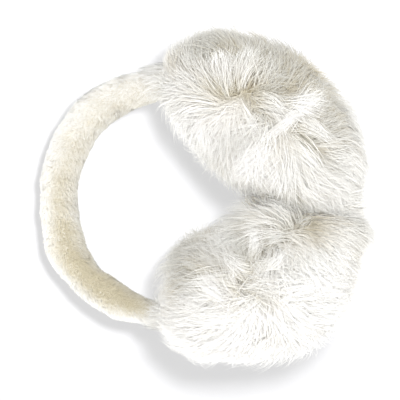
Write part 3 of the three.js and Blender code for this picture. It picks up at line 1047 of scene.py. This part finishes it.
MUFFS["lower"]["locks"] = [
    (45, -33, 44, -19, -1, 4, 80, 0.88, 1.4), (48, -38, 61, -32, -3, 4, 80, 0.86, 1.4),
    (52, -27, 62, -22, 2, 5, 60, 0.8, 0.8), (16, -45, 29, -59, -3, 6, 110, 0.9, 1.0),
    (42, -40, 27, -33, 2, 6, 60, 0.8, 0.6), (30, -50, 4, -50, -2, 8, 60, 0.78, 0.3),
    (62, -20, 58, -8, 1, 9, 80, 0.58, 0.5), (72, -20, 82, -10, 2, 9, 80, 0.58, 0.5),
    (88, -22, 98, -8, 2, 9, 80, 0.6, 0.5), (60, -58, 84, -50, 2, 9, 80, 1.0, 0.4),
    (40, -66, 12, -70, 2, 9, 70, 0.95, 0.3),
]
# The insets of a lock's roots and tips, in mm.
LOCK_ROOT = 9.0
LOCK_TIP = 2.5
# The outline's formula is kept from falling below this, so a lock past the muff's edge doesn't drop to the
# bow's plane.
LOCK_HANG = 0.25
# A lock narrows by a share towards its tip, where its hairs stray, in mm. Each hair has its own share of the
# bend, of the start and of the length, and its own height in mm and tone. A climb above 1 comes early.
LOCK_NARROWS = 0.55
LOCK_STRAY = 0.5
LOCK_BENDS = (0.6, 1.3)
LOCK_STARTS = (-0.25, 0.2)
LOCK_LENGTHS = (0.7, 1.0)
LOCK_CLIMB = 1.8
LOCK_HEIGHTS = 0.8
LOCK_TONES = 0.07
LOCK_EVENNESS = 0.5


def on_top(muff, spots, inset):
    """The points of a muff above spots in the bow's plane, on its outline drawn in by an inset."""
    flat = np.concatenate([spots, np.zeros((*spots.shape[:-1], 1))], -1)
    local = from_bow(muff, flat)
    halves = muff["halves"] - inset[..., None]
    share = (np.abs(local[..., :2] / halves[..., :2]) ** FULLNESS).sum(-1)
    local[..., 2] = halves[..., 2] * np.maximum(1 - share, LOCK_HANG) ** (1 / FULLNESS)
    return local


def lock(muff, row, steps, rng):
    """Paths of a lock's hairs, the way out at each step, and their tones."""
    x, y, end_x, end_y, bend, width, count, tone, rise = row
    along = np.linspace(0, 1, steps)
    way = np.array([end_x - x, end_y - y])
    side = np.array([-way[1], way[0]]) / np.linalg.norm(way)
    aside = rng.normal(0, width / 2, count)[:, None] * (1 - LOCK_NARROWS * along)
    aside = aside + rng.normal(0, LOCK_STRAY, count)[:, None] * along
    # Four times the share done times the share left is 1 in the middle and 0 at both ends.
    aside += bend * 4 * along * (1 - along) * rng.uniform(*LOCK_BENDS, count)[:, None]
    ahead = rng.uniform(*LOCK_STARTS, count)[:, None] + along * rng.uniform(*LOCK_LENGTHS, count)[:, None]
    spots = (x, y) + ahead[..., None] * way + aside[..., None] * side
    top = LOCK_TIP - rise + rng.normal(0, LOCK_HEIGHTS, count)[:, None]
    inset = LOCK_ROOT + (top - LOCK_ROOT) * (1 - (1 - along) ** LOCK_CLIMB)
    local = on_top(muff, spots, inset)
    out = even_out(muff_normal(muff, local) @ muff["axes"], LOCK_EVENNESS)
    return to_bow(muff, local), out, tone + rng.normal(0, LOCK_TONES, count)


# %% [markdown]
# Two coats grow on each pelt, as on the animal: a dense, short, crimped underfur in a darker tone, and over
# it long sleek guard hair. The underfur is broader, because at this scale one ribbon stands for a few of
# its fine hairs.

# %% Underfur and guard hair
# Each: how many hairs and their steps, how far a hair slides over the skin and the inset of its tip in mm,
# how it bends, strays in radians and rises in mm, its waves in radians and their height in mm, its tone and
# how that varies, and its width in mm.
COATS = {
    "underfur": {
        "count": 38000, "steps": 4, "slide": 13, "tip": 6.0, "bend": 1.5, "stray": 0.4, "rise": 1.2,
        "waves": 9, "crimp": 0.8, "tone": 0.66, "tones": 0.07, "width": 0.75, "material": UNDERFUR,
        "seed": 8},
    "guard_hair": {
        "count": 24000, "steps": 5, "slide": 22, "tip": 2.6, "bend": 1.6, "stray": 0.22, "rise": 1.6,
        "waves": 5, "crimp": 0.4, "tone": 0.73, "tones": 0.05, "width": 0.42, "material": GUARD_HAIR,
        "seed": 10},
}
# The widths from hair to hair as shares, how far a ribbon rolls in radians, and how soft its normals are.
HAIR_WIDTHS = (0.7, 1.2)
HAIR_ROLL = 0.8
HAIR_SOFTNESS = 0.92
for name, muff in MUFFS.items():
    muff["coats"] = []
    for coat, style in COATS.items():
        paths, out, tone, rng = grow(muff, style, muff["seed"] + style["seed"])
        if coat == "guard_hair":
            extra = [drape(DRAPES[name], style["steps"])]
            extra += [lock(muff, row, style["steps"], rng) for row in muff["locks"]]
            paths, out, tone = (np.concatenate(parts) for parts in zip((paths, out, tone), *extra))
        width = style["width"] * rng.uniform(*HAIR_WIDTHS, len(paths))
        roll = rng.uniform(-HAIR_ROLL, HAIR_ROLL, len(paths))
        points, faces, normals = ribbons(paths, out, width, roll, HAIR_SOFTNESS)
        uvs = hair_uvs(tone, style["steps"])
        muff["coats"].append(
            make_mesh(f"{name}_muff_{coat}", points, faces, uvs, style["material"], normals))

# %% [markdown]
# Every piece rides on the one body and stands for the solid that it dresses, whose own mesh is hidden.

for piece in (sleeve, pile):
    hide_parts("headband")
    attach(piece, "root")
for name, muff in MUFFS.items():
    for piece in (muff["pelt"], *muff["coats"]):
        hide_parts(f"fur_muff_{name}")
        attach(piece, "root")

# %% [markdown]
# The stage is a plain white floor. White fur on white needs a floor that is brighter than the fur, with only
# a soft shadow on it, so the floor has a glow and a lamp of its own that the fur doesn't see. The fur gets
# even light from all round, and a broad key from the photo's lower left that casts its shadows. Real white
# fur also passes light on inside itself, which keeps every side of it white, so wide suns without shadows
# stand in for that.

# %% The floor
# The floor's side in metres, and the strength of its glow. Its paint is grey, because the glow is what makes
# it white, and the grey only adds what the lamp gives.
FLOOR_SIZE = 4.0
FLOOR_GLOW = 0.595
half = FLOOR_SIZE / 2
floor_mesh = bpy.data.meshes.new("floor")
floor_corners = [(-half, -half, 0), (half, -half, 0), (half, half, 0), (-half, half, 0)]
floor_mesh.from_pydata(floor_corners, [], [(0, 1, 2, 3)])
floor = bpy.data.objects.new("floor", floor_mesh)
STAGE.objects.link(floor)
FLOOR_PAINT, _, _ = new_material("matt_white_paint", {
    "Base Color": linear("#7c7c7e"), "Roughness": 0.9, "Specular IOR Level": 0.0,
    "Emission Color": linear("#ffffff"), "Emission Strength": FLOOR_GLOW})
floor_mesh.materials.append(FLOOR_PAINT)

# %% Light and sky
# Each sun: strength, the way it shines in the bow's frame, its width in degrees, and whether it casts
# shadows.
SUNS = {
    "key": (0.75, (0.15, 0.5, -0.85), 50, True),
    "fill": (1.85, (0.0, 0.1, -1.0), 90, False),
    "back": (0.8, (-0.5, -0.7, -0.25), 90, False),
    "right": (0.7, (-0.95, 0.0, -0.25), 90, False),
    "front": (0.8, (0.3, 0.9, -0.25), 90, False),
    "left": (0.6, (0.9, -0.3, -0.25), 90, False),
}
# The floor's lamp: where it stands in the bow's frame and its size, in mm, and its power in watts.
FLOOR_LAMP_AT = np.array([130, 100, 500])
FLOOR_LAMP_SIZE = 100
FLOOR_LAMP_POWER = 7.0
SKY_STRENGTH = 0.64


def add_light(name, kind, energy, towards, receivers, blockers=None):
    """A light that shines along a direction in the bow's frame on receivers and is stopped by blockers."""
    lamp = bpy.data.lights.new(name, kind)
    lamp.energy = energy
    lamp.use_shadow = blockers is not None
    light = bpy.data.objects.new(name, lamp)
    STAGE.objects.link(light)
    light.rotation_mode = "QUATERNION"
    light.rotation_quaternion = Vector(np.array(towards) @ BOW_AXES).to_track_quat("-Z", "Y")
    light.light_linking.receiver_collection = receivers
    light.light_linking.blocker_collection = blockers
    return light


for name, (strength, towards, width, casts) in SUNS.items():
    sun = add_light(name, "SUN", strength, towards, OBJECT, OBJECT if casts else None)
    sun.data.angle = math.radians(width)
floor_lamp = add_light("floor_lamp", "AREA", FLOOR_LAMP_POWER, -FLOOR_LAMP_AT, STAGE, OBJECT)
floor_lamp.location = Vector(to_floor(FLOOR_LAMP_AT) * MM)
floor_lamp.data.size = FLOOR_LAMP_SIZE * MM
world = bpy.data.worlds.new("studio")
bpy.context.scene.world = world
world.use_nodes = True
world.node_tree.nodes["Background"].inputs["Color"].default_value = (1, 1, 1, 1)
world.node_tree.nodes["Background"].inputs["Strength"].default_value = SKY_STRENGTH
bpy.context.scene.view_settings.view_transform = "Standard"
print("lights", len(SUNS) + 1)

# %% [markdown]
# The camera looks square at the bow's plane from 690 mm, which is far enough to keep the perspective weak,
# and the lens is worked out so that a pixel of the 400 pixel frame shows 0.616 mm there.

# %% Camera
CAMERA_DISTANCE = 690
VIEW_CENTRE = (14.2, -2.5)
PIXEL = 0.616
FRAME_PIXELS = 400
# How far the camera sees, in metres.
FARTHEST = 10
lens = bpy.data.cameras.new("camera")
camera = bpy.data.objects.new("camera", lens)
STAGE.objects.link(camera)
lens.lens = lens.sensor_width * CAMERA_DISTANCE / (PIXEL * FRAME_PIXELS)
spot = to_floor(np.array([*VIEW_CENTRE, CAMERA_DISTANCE]))
camera.matrix_world = Matrix.Translation(Vector(spot * MM)) @ Matrix(BOW_AXES.T.tolist()).to_4x4()
lens.clip_end = FARTHEST
bpy.context.scene.camera = camera
print("lens", round(lens.lens, 1), "mm, camera height", round(spot[2]), "mm")
